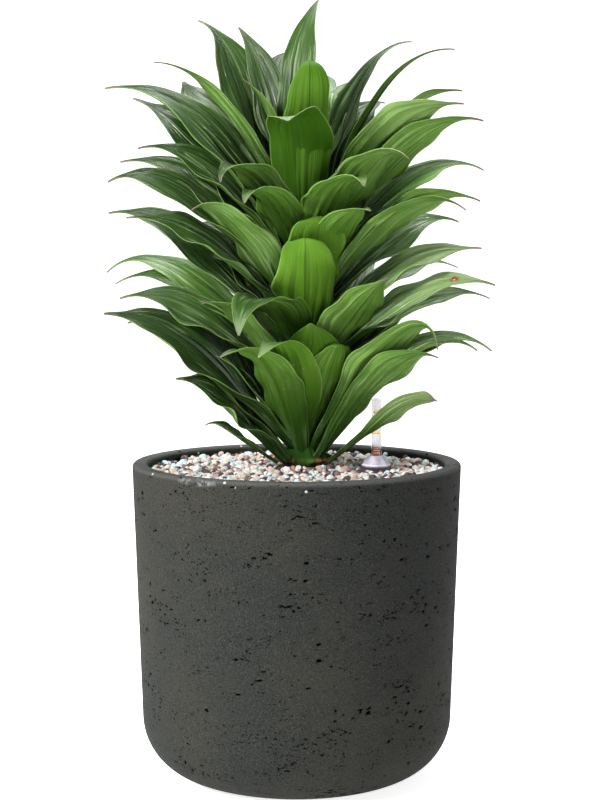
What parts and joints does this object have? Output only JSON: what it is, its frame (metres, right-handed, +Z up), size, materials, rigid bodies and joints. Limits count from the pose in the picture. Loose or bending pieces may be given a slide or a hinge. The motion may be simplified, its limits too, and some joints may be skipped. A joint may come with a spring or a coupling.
{
  "type": "potted dracaena",
  "caption": "Compact dracaena with a dense spiral of lance-shaped leaves, in a round-edged concrete pot filled with mineral granules, with a water-level gauge.",
  "frame": {"origin": "the middle of the pot's flat underside", "axes": "+Z up the plant, -Y to the front, so +X is to the right seen from the front"},
  "size_m": [0.2751, 0.2429, 0.5421],
  "materials": {
    "pot": "matt dark grey cast concrete with small pits",
    "granules": "dry mixed mineral granules, cream, pale blue and dark brown",
    "root_ball": "matted brown roots and bark",
    "leafy_stem": "waxy green leaves with thin pale margins",
    "gauge_casing": "dark purple-grey plastic",
    "gauge_cap": "translucent lilac plastic",
    "gauge_tube": "clear plastic",
    "gauge_float": "white foamed plastic",
    "gauge_pointer": "red plastic"
  },
  "bodies": {
    "root": {"pot": "pot", "granules": "granules", "root_ball": "root_ball", "leafy_stem": "leafy_stem", "gauge_casing": "gauge_casing", "gauge_cap": "gauge_cap", "gauge_tube": "gauge_tube"},
    "float": {"gauge_float": "gauge_float", "gauge_pointer": "gauge_pointer"}
  },
  "joints": [
    {"name": "float_slide", "type": "slide", "parent": "root", "child": "float", "axis": [0, 0, 1], "range_m": [0, 0.03]}
  ]
}
